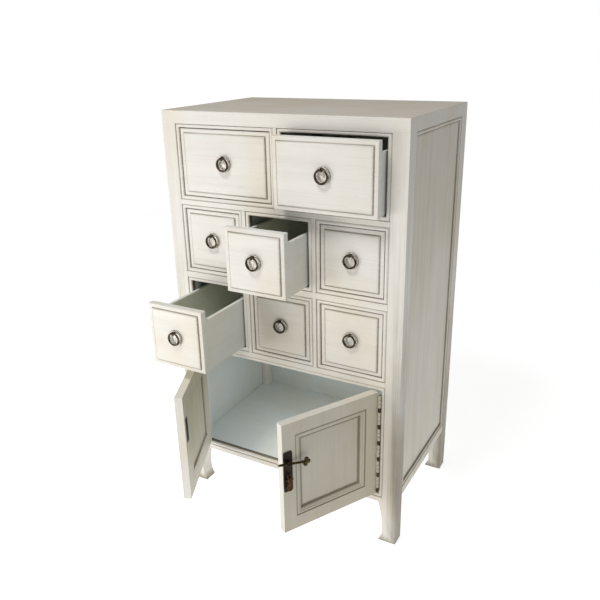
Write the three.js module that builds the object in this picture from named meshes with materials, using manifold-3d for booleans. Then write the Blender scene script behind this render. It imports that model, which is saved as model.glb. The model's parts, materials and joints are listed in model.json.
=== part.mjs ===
// Painted apothecary cabinet: a framed case on four legs, two wide drawers over six small
// drawers, and a cupboard with two doors. Millimetres, +Z up, the front faces -Y.
// The cabinet stands with three drawers part pulled and both doors part open.

import * as THREE from 'three';
import { mergeVertices } from 'three/addons/utils/BufferGeometryUtils.js';
import Module from 'manifold-3d';

const wasm = await Module();
wasm.setup();

// ---- Driving dimensions ------------------------------------------------------------------

const GAP = 0.3;
// Depth by which two joined bodies of one piece run into each other
const OVERLAP = 0.1;

// Case
const HALF_WIDTH = 280;
const DEPTH = 355;
const HEIGHT = 930;
const TOP_THICKNESS = 27;
const TOP_UNDER = HEIGHT - TOP_THICKNESS;
const POST_WIDTH = 35;
const POST_DEPTH = 34;
const POST_INNER = HALF_WIDTH - POST_WIDTH;
const BACK_POST_FRONT = DEPTH - POST_DEPTH;
const FACE_DEPTH = 12;
const RAIL_FRONT = FACE_DEPTH + GAP;
const STRIP_BACK = RAIL_FRONT + 0.2;

// Bead moulding round every opening
const BEAD = 8;
const BEAD_STEPS = 5;
const BEAD_CROWN = 0.2;
const BEAD_SHOULDER = 3.4;
const GROOVE_WIDTH = 1;
const GROOVE_DEPTH = 1.7;

// Openings: heights of the drawer rows and of the cupboard
const OPENING_HALF = POST_INNER - BEAD;
const ROWS = [
  { bottom: 749, top: 895, columns: 2, shelf: 'shelf_row1' },
  { bottom: 582, top: 721, columns: 3, shelf: 'shelf_row2' },
  { bottom: 409, top: 551, columns: 3, shelf: 'shelf_row3' },
];
const CUPBOARD = { bottom: 124, top: 380 };
const DIVIDER_WIDTH = 26;
const DIVIDER_BOARD = 10;
const RAIL_BOTTOM = 104;

// Boards
const SHELF_BOARD = 12;
const FLOOR_DROP = 2;
const SIDE_INNER = 264;
const SIDE_RECESS = 11;
const SIDE_RAIL_BOTTOM = 114;
const SIDE_RAIL_TOP = 134;
const SIDE_BEAD = 7;
const BACK_PANEL_FRONT = 345;
const BACK_PANEL_THICKNESS = 8;

// Legs: inner edge of the leg, as distance from the case's outer side at each height
const LEG_EDGE = [
  [43, 104], [40, 94], [36.5, 78], [33, 56], [31.5, 34],
  [32.5, 20], [36, 9], [40, 3], [40.5, 0],
];
const LEG_OVERLAP = 6;

// Drawers
const DRAWER_CLEARANCE = 1.5;
const FRONT_THICKNESS = 18;
const BAND_DEPTH = 3.5;
const BAND_WIDTH = 9;
const COVE_WIDTH = 6;
const BOX_WALL = 8;
const BOX_FLOOR = 6;
const BOX_LENGTH = 318;
const BOX_INSET = 2;
const BOX_LIFT = 1;
const FRONT_CHAMFER = 0.8;
const BOX_DROP = 23;
const PULLED = { r1c2: 38, r2c2: 95, r3c1: 153 };

// Ring pulls
const PLATE_RADIUS = 16.6;
const PLATE_THICKNESS = 1.6;
const PLATE_RIM = 0.9;
const RING_RADIUS = 13;
const RING_WIRE = 2.1;
const PULL_RAISE = 3;
const RING_EYE_HEIGHT = 12;
// An eye's neck is this fraction of its round end's width
const EYE_NECK = 0.7;
const RING_EYE = { bore: 3, outer: 4.9, width: 5, reach: 7 };

// Doors
const HINGE_X = 236;
const HINGE_FORWARD = 3.5;
const DOOR_SIDE_GAP = 1.6;
const DOOR_MEETING_GAP = 1.25;
const DOOR_EDGE_GAP = 2;
const DOOR_THICKNESS = 17;
const DOOR_STILE = 31;
const DOOR_MOULDING = 13;
const DOOR_PANEL_FRONT = 7;
const DOOR_PANEL_THICKNESS = 5.4;
const DOOR_GROOVE = 4;
const DOOR_OPEN = { left: 65, right: 61 };
const HINGE_RADIUS = 3;
const HINGE_LENGTH = 240;
const HINGE_LEAF = 1.2;

// Lock plates, bolt and drop pulls
const LOCK_PLATE = { width: 20, height: 92, thickness: 1.5, corner: 3, fromEdge: 11.5, centre: 271 };
const STAPLE = { bore: 3.1, outer: 5.4, width: 8, reach: 7.5 };
const BOLT_HEIGHT = 293;
const BOLT_TILT = 12;
const BOLT_RADIUS = 2.4;
const BOLT_PAST_EDGE = 15.5;
const BOLT_LENGTH = 61;
const BOLT_POINT = { radius: 1.2, length: 2.5 };
const BOLT_HEAD = { lobe: 5.2, offset: 5.4, thickness: 6, overlap: 1 };
const DROP_EYE = { bore: 2.1, outer: 3.6, width: 3, reach: 6.2 };
const DROP_HEIGHT = 268;
const DROP_RING_RADIUS = 4.6;
const DROP_RING_WIRE = 1.3;
const DROP_LEAF = { length: 39, thickness: 3.4 };

// Thin iron strip on the inner face of the left door, near its free edge
const STRIKE = { fromEdge: 9, width: 13, low: 265, high: 322, thickness: 0.8 };

// ---- Colours -----------------------------------------------------------------------------

const paint = { color: 0xded9ce, roughness: 0.62, metalness: 0 };
const innerPaint = { color: 0x96a09a, roughness: 0.7, metalness: 0 };
const boxPaint = { color: 0xa7a6a2, roughness: 0.7, metalness: 0 };
const iron = { color: 0x2d2620, roughness: 0.45, metalness: 0.85 };
const plateMetal = { color: 0x9b978c, roughness: 0.4, metalness: 0.9 };
const lockIron = { color: 0x1e170f, roughness: 0.5, metalness: 0.8 };
const brass = { color: 0x55501c, roughness: 0.42, metalness: 0.9 };
const bronze = { color: 0x5a3e1b, roughness: 0.45, metalness: 0.85 };

// ---- Solid helpers -----------------------------------------------------------------------

// Signed volume of a closed triangle mesh, to tell which way its faces point.
function signedVolume(geometry) {
  const position = geometry.attributes.position;
  const index = geometry.index.array;
  const a = new THREE.Vector3();
  const b = new THREE.Vector3();
  const c = new THREE.Vector3();
  let sum = 0;
  for (let i = 0; i < index.length; i += 3) {
    a.fromBufferAttribute(position, index[i]);
    b.fromBufferAttribute(position, index[i + 1]);
    c.fromBufferAttribute(position, index[i + 2]);
    sum += a.dot(b.cross(c));
  }
  return sum / 6;
}

// Shared vertices merged, empty triangles dropped, faces turned outward.
function closed(geometry) {
  geometry.deleteAttribute('normal');
  geometry.deleteAttribute('uv');
  const merged = mergeVertices(geometry, 1e-4);
  const index = merged.index.array;
  const kept = [];
  for (let i = 0; i < index.length; i += 3) {
    const [a, b, c] = index.slice(i, i + 3);
    if (a !== b && b !== c && c !== a) {
      kept.push(a, b, c);
    }
  }
  merged.setIndex(kept);
  if (signedVolume(merged) < 0) {
    merged.setIndex(kept.reverse());
  }
  return merged;
}

function solid(geometry) {
  const merged = closed(geometry);
  const vertProperties = new Float32Array(merged.attributes.position.array);
  const triVerts = new Uint32Array(merged.index.array);
  return new wasm.Manifold(new wasm.Mesh({ numProp: 3, vertProperties, triVerts }));
}

function toGeometry(body) {
  const mesh = body.getMesh();
  const geometry = new THREE.BufferGeometry();
  const position = new THREE.BufferAttribute(new Float32Array(mesh.vertProperties), 3);
  geometry.setAttribute('position', position);
  geometry.setIndex(new THREE.BufferAttribute(new Uint32Array(mesh.triVerts), 1));
  geometry.computeVertexNormals();
  return geometry;
}

function join(first, ...others) {
  return others.reduce((sum, part) => sum.add(part), first);
}

function box(x0, x1, y0, y1, z0, z1) {
  const geometry = new THREE.BoxGeometry(x1 - x0, y1 - y0, z1 - z0);
  geometry.translate((x0 + x1) / 2, (y0 + y1) / 2, (z0 + z1) / 2);
  return solid(geometry);
}

function shapeOf(points) {
  return new THREE.Shape(points.map(([u, v]) => new THREE.Vector2(u, v)));
}

function extrude(shape, depth) {
  return new THREE.ExtrudeGeometry(shape, { depth, bevelEnabled: false, curveSegments: 10 });
}

// Outline in (x, y), extruded up from z0 to z1.
function extrudeUp(points, z0, z1) {
  return solid(extrude(shapeOf(points), z1 - z0).translate(0, 0, z0));
}

// Outline in (y, z), extruded across from x0 to x1.
function extrudeAcross(points, x0, x1) {
  const geometry = extrude(shapeOf(points), x1 - x0);
  const basis = new THREE.Matrix4().makeBasis(
    new THREE.Vector3(0, 1, 0),
    new THREE.Vector3(0, 0, 1),
    new THREE.Vector3(1, 0, 0),
  );
  return solid(geometry.applyMatrix4(basis).translate(x0, 0, 0));
}

// Outline in (x, z), extruded back from y0 to y1.
function extrudeBack(shape, y0, y1) {
  return solid(extrude(shape, y1 - y0).rotateX(Math.PI / 2).translate(0, y1, 0));
}

// Closed solid through a list of point loops, each with the same number of points.
// A ring of loops closes on itself; a stack of loops gets flat ends.
function loft(loops, isRing) {
  const size = loops[0].length;
  const count = loops.length;
  const positions = loops.flat(2);
  const index = [];
  const spans = isRing ? count : count - 1;
  for (let k = 0; k < spans; k += 1) {
    const next = (k + 1) % count;
    for (let i = 0; i < size; i += 1) {
      const j = (i + 1) % size;
      index.push(k * size + i, k * size + j, next * size + j);
      index.push(k * size + i, next * size + j, next * size + i);
    }
  }
  if (!isRing) {
    const last = (count - 1) * size;
    for (let i = 1; i < size - 1; i += 1) {
      index.push(0, i + 1, i);
      index.push(last, last + i, last + i + 1);
    }
  }
  const geometry = new THREE.BufferGeometry();
  geometry.setAttribute('position', new THREE.Float32BufferAttribute(positions, 3));
  geometry.setIndex(index);
  return solid(geometry);
}

// Mitred rectangular frame facing -Y: the profile is (distance in from the edge, depth y).
function mitredFrame(profile, x0, x1, z0, z1) {
  const corners = [[1, 1], [-1, 1], [-1, -1], [1, -1]];
  const loops = corners.map(([sideX, sideZ]) => profile.map(([inward, y]) => [
    sideX > 0 ? x1 - inward : x0 + inward,
    y,
    sideZ > 0 ? z1 - inward : z0 + inward,
  ]));
  return loft(loops, true);
}

// Stack of rectangles facing -Y: each layer is (distance in from the edge, depth y).
function rectangleStack(layers, x0, x1, z0, z1) {
  const loops = layers.map(([inward, y]) => [
    [x0 + inward, y, z0 + inward],
    [x1 - inward, y, z0 + inward],
    [x1 - inward, y, z1 - inward],
    [x0 + inward, y, z1 - inward],
  ]);
  return loft(loops, false);
}

// Half-round bead along an opening's edge, from its groove to the opening. Each point is
// (position across the bead, depth y); side is the direction from the opening to the flat.
function beadSection(edge, side) {
  const middle = BEAD / 2;
  const points = [
    [edge + side * (BEAD + GROOVE_WIDTH), 0],
    [edge + side * (BEAD + GROOVE_WIDTH * 0.3), GROOVE_DEPTH],
  ];
  const start = Math.asin((BEAD_SHOULDER - GROOVE_DEPTH) / (BEAD_SHOULDER - BEAD_CROWN));
  for (let k = 0; k <= BEAD_STEPS; k += 1) {
    const angle = start + (Math.PI - start) * (k / BEAD_STEPS);
    const across = edge + side * (middle + middle * Math.cos(angle));
    const y = BEAD_SHOULDER - (BEAD_SHOULDER - BEAD_CROWN) * Math.sin(angle);
    points.push([across, y]);
  }
  return points;
}

function piece(name, body, look, parent) {
  const mesh = new THREE.Mesh(toGeometry(body), new THREE.MeshStandardMaterial(look));
  mesh.name = name;
  parent.add(mesh);
  return mesh;
}

// ---- Case --------------------------------------------------------------------------------

const cabinet = new THREE.Group();

// Leg below the rails, tapered on its inner edge and flared to a small toe.
function leg(side, y0, y1) {
  const top = RAIL_BOTTOM + LEG_OVERLAP;
  const inside = POST_WIDTH - GROOVE_WIDTH;
  const outline = [
    [0, 0], [0, top], [inside, top], [inside, RAIL_BOTTOM], ...LEG_EDGE,
  ].map(([inward, z]) => [side * (HALF_WIDTH - inward), z]);
  return extrudeBack(shapeOf(outline), y0, y1);
}

function frontPost(side) {
  const plan = [
    [side * HALF_WIDTH, 0],
    ...beadSection(side * OPENING_HALF, side),
    [side * OPENING_HALF, FACE_DEPTH],
    [side * POST_INNER, FACE_DEPTH],
    [side * POST_INNER, POST_DEPTH],
    [side * HALF_WIDTH, POST_DEPTH],
  ];
  return join(extrudeUp(plan, RAIL_BOTTOM, TOP_UNDER - GAP), leg(side, 0, POST_DEPTH));
}

function backPost(side) {
  const inner = side * POST_INNER;
  const outer = side * HALF_WIDTH;
  const upright = box(
    Math.min(inner, outer), Math.max(inner, outer),
    BACK_POST_FRONT, DEPTH, RAIL_BOTTOM, TOP_UNDER - GAP,
  );
  return join(upright, leg(side, BACK_POST_FRONT, DEPTH));
}

for (const [word, side] of [['left', -1], ['right', 1]]) {
  piece(`post_front_${word}`, frontPost(side), paint, cabinet);
  piece(`post_back_${word}`, backPost(side), paint, cabinet);
}

// Strip on the front plane between two openings, with a bead along each of its long edges.
function railStrip(bottom, top) {
  const lower = beadSection(bottom, 1).reverse().map(([z, y]) => [y, z]);
  const upper = beadSection(top, -1).map(([z, y]) => [y, z]);
  const outline = [[STRIP_BACK, bottom], ...lower, ...upper, [STRIP_BACK, top]];
  return extrudeAcross(outline, GAP - OPENING_HALF, OPENING_HALF - GAP);
}

function topPanel() {
  const lip = ROWS[0].top;
  const board = box(-HALF_WIDTH, HALF_WIDTH, 0, DEPTH, TOP_UNDER, HEIGHT);
  const bead = beadSection(lip, 1).slice(1).reverse().map(([z, y]) => [y, z]);
  const outline = [
    [FACE_DEPTH, lip], ...bead, [GROOVE_DEPTH, TOP_UNDER + 1], [FACE_DEPTH, TOP_UNDER + 1],
  ];
  return join(board, extrudeAcross(outline, GAP - OPENING_HALF, OPENING_HALF - GAP));
}

piece('top_panel', topPanel(), paint, cabinet);

// Board between the posts, notched round all four of them.
function boardPlan(slots) {
  const back = BACK_PANEL_FRONT - GAP;
  const narrow = POST_INNER - GAP;
  const wide = SIDE_INNER - GAP;
  const front = POST_DEPTH - OVERLAP;
  const wideFront = POST_DEPTH + GAP;
  const wideBack = BACK_POST_FRONT - GAP;
  const backEdge = slots.flatMap(([x, halfWidth, depth]) => [
    [x + halfWidth, back], [x + halfWidth, depth], [x - halfWidth, depth], [x - halfWidth, back],
  ]);
  return [
    [-narrow, front], [narrow, front], [narrow, wideFront], [wide, wideFront],
    [wide, wideBack], [narrow, wideBack], [narrow, back], ...backEdge,
    [-narrow, back], [-narrow, wideBack], [-wide, wideBack], [-wide, wideFront],
    [-narrow, wideFront],
  ];
}

function shelf(railBottom, railTop, boardTop, slots) {
  const rail = box(
    GAP - POST_INNER, POST_INNER - GAP, RAIL_FRONT, POST_DEPTH, railBottom, railTop,
  );
  const board = extrudeUp(boardPlan(slots), boardTop - SHELF_BOARD, boardTop);
  return join(rail, board, railStrip(railBottom, railTop));
}

const columnWidth = (2 * OPENING_HALF - 2 * DIVIDER_WIDTH) / 3;
const dividerX = (columnWidth + DIVIDER_WIDTH) / 2;
const LAP_DEPTH = POST_DEPTH + 4;
const slotHalf = DIVIDER_BOARD / 2 + GAP;
const lapSlots = [[dividerX, slotHalf, LAP_DEPTH], [-dividerX, slotHalf, LAP_DEPTH]];

ROWS.forEach((row, r) => {
  const below = r + 1 < ROWS.length ? ROWS[r + 1].top : CUPBOARD.top;
  const body = shelf(below, row.bottom, row.bottom, r === 1 ? lapSlots : []);
  piece(row.shelf, body, paint, cabinet);
});
piece(
  'bottom_board',
  shelf(RAIL_BOTTOM, CUPBOARD.bottom, CUPBOARD.bottom - FLOOR_DROP, []),
  paint,
  cabinet,
);

// Side panel between the posts: a recessed board, a bottom rail and a mitred bead frame.
function sidePanel(side) {
  const front = POST_DEPTH + GAP;
  const back = BACK_POST_FRONT - GAP;
  const face = SIDE_INNER + SIDE_RECESS;
  const board = box(SIDE_INNER, face, front, back, SIDE_RAIL_BOTTOM, TOP_UNDER - GAP);
  const rail = box(face - OVERLAP, HALF_WIDTH, front, back, SIDE_RAIL_BOTTOM, SIDE_RAIL_TOP);
  const profile = [
    [0, OVERLAP], [0, -3.2], [1, -4.1], [3, -4.6], [5, -4], [6.4, -2.8], [SIDE_BEAD, -1.2],
    [SIDE_BEAD, OVERLAP],
  ];
  const bead = mitredFrame(profile, front, back, SIDE_RAIL_TOP - OVERLAP, TOP_UNDER - GAP);
  const outward = bead.rotate([0, 0, 90]).translate([face, 0, 0]);
  const panel = join(board, rail, outward);
  return side > 0 ? panel : panel.mirror([1, 0, 0]);
}

piece('side_panel_left', sidePanel(-1), paint, cabinet);
piece('side_panel_right', sidePanel(1), paint, cabinet);
piece(
  'back_panel',
  box(
    GAP - POST_INNER, POST_INNER - GAP,
    BACK_PANEL_FRONT, BACK_PANEL_FRONT + BACK_PANEL_THICKNESS, RAIL_BOTTOM, TOP_UNDER - GAP,
  ),
  innerPaint,
  cabinet,
);

// Face strip of a divider, with a bead along both of its upright edges.
function dividerStrip(x, bottom, top) {
  const half = DIVIDER_WIDTH / 2;
  const plan = [
    [x - half, FACE_DEPTH],
    ...beadSection(x - half, 1).reverse(),
    ...beadSection(x + half, -1),
    [x + half, FACE_DEPTH],
  ];
  return extrudeUp(plan, bottom + GAP, top - GAP);
}

function wideDivider() {
  const [row] = ROWS;
  const half = DIVIDER_BOARD / 2;
  const board = box(
    -half, half, FACE_DEPTH - OVERLAP, BACK_PANEL_FRONT - GAP, row.bottom + GAP, row.top - GAP,
  );
  return join(board, dividerStrip(0, row.bottom, row.top));
}

// Divider of rows 2 and 3: one board, halved over the shelf between the rows.
function tallDivider(x) {
  const [, upper, lower] = ROWS;
  const front = FACE_DEPTH - OVERLAP;
  const back = BACK_PANEL_FRONT - GAP;
  const lap = LAP_DEPTH + GAP;
  const underBoard = ROWS[0].bottom - SHELF_BOARD - GAP;
  const outline = [
    [front, lower.bottom + GAP], [back, lower.bottom + GAP], [back, underBoard],
    [POST_DEPTH + GAP, underBoard], [POST_DEPTH + GAP, upper.top - GAP],
    [front, upper.top - GAP], [front, upper.bottom + GAP], [lap, upper.bottom + GAP],
    [lap, lower.top - GAP], [front, lower.top - GAP],
  ];
  const board = extrudeAcross(outline, x - DIVIDER_BOARD / 2, x + DIVIDER_BOARD / 2);
  return join(
    board,
    dividerStrip(x, upper.bottom, upper.top),
    dividerStrip(x, lower.bottom, lower.top),
  );
}

piece('divider_wide', wideDivider(), paint, cabinet);
piece('divider_left', tallDivider(-dividerX), paint, cabinet);
piece('divider_right', tallDivider(dividerX), paint, cabinet);

// ---- Pulls: eyes, plates and rings --------------------------------------------------------

// Eye standing out of a plate: a rounded lug with a bore across it. The bore's axis is the
// x axis; the plate's face is at y = reach.
function eye({ bore, outer, width, reach }) {
  const outline = new THREE.Shape();
  const tangent = Math.asin(EYE_NECK);
  outline.absarc(0, 0, outer, tangent, 2 * Math.PI - tangent, false);
  outline.lineTo(reach, -outer * EYE_NECK);
  outline.lineTo(reach, outer * EYE_NECK);
  outline.closePath();
  const hole = new THREE.Path();
  hole.absarc(0, 0, bore, 0, Math.PI * 2, true);
  outline.holes.push(hole);
  const basis = new THREE.Matrix4().makeBasis(
    new THREE.Vector3(0, 1, 0),
    new THREE.Vector3(0, 0, 1),
    new THREE.Vector3(1, 0, 0),
  );
  const geometry = new THREE.ExtrudeGeometry(
    outline,
    { depth: width, bevelEnabled: false, curveSegments: 7 },
  );
  return solid(geometry.applyMatrix4(basis).translate(-width / 2, 0, 0));
}

// Ring pull, hanging from the origin: a torus whose top passes through the eye.
function ring(radius, wire, tubeSides, segments) {
  const torus = new THREE.TorusGeometry(radius, wire, tubeSides, segments);
  return solid(torus.rotateX(Math.PI / 2).translate(0, 0, -radius));
}

function ringPlate() {
  const rim = PLATE_THICKNESS + PLATE_RIM;
  const profile = [
    [0, 0], [PLATE_RADIUS, 0], [PLATE_RADIUS, PLATE_THICKNESS], [PLATE_RADIUS - 1, rim],
    [PLATE_RADIUS - 2.4, PLATE_THICKNESS], [0, PLATE_THICKNESS],
  ].map(([radius, rise]) => new THREE.Vector2(radius, rise));
  const disc = solid(new THREE.LatheGeometry(profile, 28).rotateX(Math.PI));
  const lug = eye(RING_EYE).translate([0, -RING_EYE.reach, RING_EYE_HEIGHT]);
  return join(disc, lug);
}

// ---- Drawers -----------------------------------------------------------------------------

function drawer(id, x0, x1, z0, z1) {
  const group = new THREE.Group();
  group.position.y = -(PULLED[id] || 0);
  cabinet.add(group);
  const left = x0 + DRAWER_CLEARANCE;
  const right = x1 - DRAWER_CLEARANCE;
  const low = z0 + DRAWER_CLEARANCE;
  const high = z1 - DRAWER_CLEARANCE;
  const cove = BAND_WIDTH + COVE_WIDTH;
  const front = rectangleStack([
    [0, FRONT_THICKNESS], [0, BAND_DEPTH + FRONT_CHAMFER], [FRONT_CHAMFER, BAND_DEPTH],
    [BAND_WIDTH, BAND_DEPTH],
    [BAND_WIDTH, BAND_DEPTH - 1], [BAND_WIDTH + 2, BAND_DEPTH - 2.3], [cove - 2, 0.4], [cove, 0],
  ], left, right, low, high);
  piece(`drawer_${id}_front`, front, paint, group);

  const boxFront = FRONT_THICKNESS + GAP;
  const boxBack = boxFront + BOX_LENGTH;
  const outer = box(
    left + BOX_INSET, right - BOX_INSET, boxFront, boxBack, low + BOX_LIFT, high - BOX_DROP,
  );
  const hollow = box(
    left + BOX_INSET + BOX_WALL, right - BOX_INSET - BOX_WALL,
    boxFront - 1, boxBack - BOX_WALL, low + BOX_LIFT + BOX_FLOOR, high,
  );
  piece(`drawer_${id}_box`, outer.subtract(hollow), boxPaint, group);

  const centre = [(left + right) / 2, -GAP, (low + high) / 2 + PULL_RAISE];
  piece(`drawer_${id}_plate`, ringPlate(), plateMetal, group).position.set(...centre);
  const pull = piece(
    `drawer_${id}_ring`, ring(RING_RADIUS, RING_WIRE, 8, 22), iron, group,
  );
  pull.position.set(centre[0], centre[1] - RING_EYE.reach, centre[2] + RING_EYE_HEIGHT);
}

ROWS.forEach((row, r) => {
  const width = (2 * OPENING_HALF - (row.columns - 1) * DIVIDER_WIDTH) / row.columns;
  for (let c = 0; c < row.columns; c += 1) {
    const x0 = -OPENING_HALF + c * (width + DIVIDER_WIDTH);
    drawer(`r${r + 1}c${c + 1}`, x0, x0 + width, row.bottom, row.top);
  }
});

// ---- Doors -------------------------------------------------------------------------------

// Lock plate on the right door's free stile, with the staple for the bolt and the eye for the
// drop pull. The staple's bore leans the way the bolt does.
// The origin is on the plate's back, at the height of the floor.
function lockPlate() {
  const { width, height, thickness, corner, centre } = LOCK_PLATE;
  const x = width / 2;
  const low = centre - height / 2;
  const high = centre + height / 2;
  const outline = [
    [x - corner, low], [x, low + corner], [x, high - corner], [x - corner, high],
    [corner - x, high], [-x, high - corner], [-x, low + corner], [corner - x, low],
  ];
  const plate = extrudeBack(shapeOf(outline), -thickness, 0);
  const staple = eye(STAPLE).rotate([0, BOLT_TILT, 0]).translate([0, -STAPLE.reach, BOLT_HEIGHT]);
  const drop = eye(DROP_EYE).translate([0, -DROP_EYE.reach, DROP_HEIGHT]);
  return join(plate, staple, drop);
}

// Drop pull: a small ring at the top, in the plate's eye, and a flat leaf below it.
function dropPull() {
  const outline = [
    [2, -8], [4.5, -9.5], [8.2, -11.5], [8.4, -13.5], [6, -15], [5.4, -18], [6.2, -24],
    [6.8, -30], [5.6, -35], [2.8, -38.2],
  ];
  const mirrored = outline.map(([x, z]) => [-x, z]).reverse();
  const tip = [0, -DROP_LEAF.length];
  const half = DROP_LEAF.thickness / 2;
  const leaf = extrudeBack(shapeOf([...outline, tip, ...mirrored]), -half, half);
  return join(ring(DROP_RING_RADIUS, DROP_RING_WIRE, 8, 16), leaf);
}

// Bolt along x: the point is at the origin and the three-lobed head at the far end.
function latchBolt() {
  const rod = new THREE.LatheGeometry(
    [
      [0, 0], [BOLT_POINT.radius, 0], [BOLT_RADIUS, BOLT_POINT.length],
      [BOLT_RADIUS, BOLT_LENGTH], [0, BOLT_LENGTH],
    ].map(([radius, along]) => new THREE.Vector2(radius, along)),
    12,
  ).rotateZ(-Math.PI / 2);
  const { lobe, offset, thickness, overlap } = BOLT_HEAD;
  const centre = BOLT_LENGTH + offset - overlap;
  const lobes = [[0, offset], [0, -offset], [offset, 0], [0, 0]].map(([x, z]) => {
    const disc = new THREE.CylinderGeometry(lobe, lobe, thickness, 18);
    return solid(disc.translate(centre + x, 0, z));
  });
  return join(solid(rod), ...lobes);
}

function door(word, side) {
  const hinge = new THREE.Group();
  hinge.position.set(side * HINGE_X, -HINGE_FORWARD, 0);
  hinge.rotation.z = side * THREE.MathUtils.degToRad(DOOR_OPEN[word]);
  cabinet.add(hinge);

  const free = -side * (HINGE_X - DOOR_MEETING_GAP);
  const fixed = -side * DOOR_SIDE_GAP;
  const x0 = Math.min(free, fixed);
  const x1 = Math.max(free, fixed);
  const z0 = CUPBOARD.bottom + DOOR_EDGE_GAP;
  const z1 = CUPBOARD.top - DOOR_EDGE_GAP;
  const face = HINGE_FORWARD;
  const inner = DOOR_STILE + DOOR_MOULDING;
  const panelBack = DOOR_PANEL_FRONT + DOOR_PANEL_THICKNESS;
  const profile = [
    [0, 0], [DOOR_STILE - 1.2, 0], [DOOR_STILE - 0.4, 1.3], [DOOR_STILE + 0.6, 1.3],
    [DOOR_STILE + 2, 0.3], [DOOR_STILE + 5, 0.5], [DOOR_STILE + 8.5, 2.4],
    [DOOR_STILE + 10, 5.2], [inner, 6.2], [inner, DOOR_PANEL_FRONT - GAP],
    [inner - DOOR_GROOVE, DOOR_PANEL_FRONT - GAP], [inner - DOOR_GROOVE, panelBack + GAP],
    [inner, panelBack + GAP], [inner, DOOR_THICKNESS], [0, DOOR_THICKNESS],
  ].map(([inward, y]) => [inward, face + y]);
  piece(`door_${word}_frame`, mitredFrame(profile, x0, x1, z0, z1), paint, hinge);

  const edge = inner - DOOR_GROOVE + GAP;
  piece(
    `door_${word}_panel`,
    box(
      x0 + edge, x1 - edge,
      face + DOOR_PANEL_FRONT, face + panelBack, z0 + edge, z1 - edge,
    ),
    paint,
    hinge,
  );

  if (side > 0) {
    const plateX = free + LOCK_PLATE.fromEdge;
    const plateY = face - GAP;
    piece('lock_plate', lockPlate(), lockIron, hinge).position.set(plateX, plateY, 0);
    const drop = piece('drop_pull', dropPull(), bronze, hinge);
    drop.position.set(plateX, plateY - DROP_EYE.reach, DROP_HEIGHT);
    const lean = THREE.MathUtils.degToRad(BOLT_TILT);
    const ahead = LOCK_PLATE.fromEdge + BOLT_PAST_EDGE;
    const bolt = piece('latch_bolt', latchBolt(), brass, hinge);
    bolt.rotation.y = lean;
    bolt.position.set(
      plateX - ahead * Math.cos(lean), plateY - STAPLE.reach,
      BOLT_HEIGHT + ahead * Math.sin(lean),
    );
  } else {
    const strikeX = free - STRIKE.fromEdge;
    const strikeY = face + DOOR_THICKNESS + GAP;
    const strip = box(
      strikeX - STRIKE.width, strikeX, strikeY, strikeY + STRIKE.thickness,
      STRIKE.low, STRIKE.high,
    );
    piece('strike_strip', strip, lockIron, hinge);
  }
}

door('left', -1);
door('right', 1);

// Long hinge: a barrel in front of the joint between door and post, and a leaf beside the door.
function hingeBarrel(side, z) {
  const barrel = new THREE.CylinderGeometry(HINGE_RADIUS, HINGE_RADIUS, HINGE_LENGTH, 16);
  const pin = solid(barrel.rotateX(Math.PI / 2).translate(side * HINGE_X, -HINGE_FORWARD, z));
  const inner = side * (HINGE_X - HINGE_LEAF / 2);
  const outer = side * (HINGE_X + HINGE_LEAF / 2);
  const half = HINGE_LENGTH / 2 - 1;
  const leaf = box(
    Math.min(inner, outer), Math.max(inner, outer),
    -HINGE_FORWARD, FACE_DEPTH, z - half, z + half,
  );
  return join(pin, leaf);
}

const hingeCentre = (CUPBOARD.top + CUPBOARD.bottom) / 2;
piece('hinge_left', hingeBarrel(-1, hingeCentre), iron, cabinet);
piece('hinge_right', hingeBarrel(1, hingeCentre), iron, cabinet);

// ---- Origin: bottom centre of the box round the cabinet as it stands -----------------------

const bounds = new THREE.Box3().setFromObject(cabinet, true);
cabinet.position.set(0, -(bounds.min.y + bounds.max.y) / 2, 0);

const group = new THREE.Group();
group.add(cabinet);
group.updateMatrixWorld(true);

export default group;
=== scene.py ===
"""Looks of the painted apothecary cabinet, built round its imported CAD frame."""

import json
import math

import bmesh
import bpy
from mathutils import Matrix, Vector


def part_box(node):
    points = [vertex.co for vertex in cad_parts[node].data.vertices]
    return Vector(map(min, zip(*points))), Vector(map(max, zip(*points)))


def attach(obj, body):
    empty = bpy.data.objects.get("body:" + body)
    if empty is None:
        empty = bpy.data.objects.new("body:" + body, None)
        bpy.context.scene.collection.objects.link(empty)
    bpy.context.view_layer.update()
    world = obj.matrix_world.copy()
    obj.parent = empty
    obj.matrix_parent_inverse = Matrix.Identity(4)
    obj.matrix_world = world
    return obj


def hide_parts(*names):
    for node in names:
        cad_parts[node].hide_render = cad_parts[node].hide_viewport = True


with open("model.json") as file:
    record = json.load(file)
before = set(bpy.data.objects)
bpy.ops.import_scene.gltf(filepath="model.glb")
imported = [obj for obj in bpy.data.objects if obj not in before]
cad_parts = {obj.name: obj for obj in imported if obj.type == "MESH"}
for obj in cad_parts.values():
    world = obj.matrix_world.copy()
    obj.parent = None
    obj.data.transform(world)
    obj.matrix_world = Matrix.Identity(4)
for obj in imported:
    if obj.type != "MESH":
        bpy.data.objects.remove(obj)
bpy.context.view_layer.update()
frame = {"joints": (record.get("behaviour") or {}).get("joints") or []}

# ---- Sizes, in millimetres -------------------------------------------------------------------
# x runs to the right, d back from the case's front plane and z up from the floor.

MM = 0.001
SIDES = (("left", -1), ("right", 1))
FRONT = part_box("post_front_left")[0].y / MM
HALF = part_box("top_panel")[1].x / MM
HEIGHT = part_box("top_panel")[1].z / MM
TOP_UNDER = HEIGHT - 27
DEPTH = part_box("post_back_left")[1].y / MM - FRONT

GAP = 0.3
OPENING_HALF = 237
RIM = 9
FACE = 14
BODY = 14.2
POST_IN = 245
POST_DEPTH = 34
RAIL_BOTTOM = 104
SHELF_BOARD = 12
SIDE_IN = 264
SIDE_RECESS = 11
SIDE_RAIL_BOTTOM, SIDE_RAIL_TOP = 114, 133.7
BACK_AT = 345
BACK_BOARDS = 3

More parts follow.
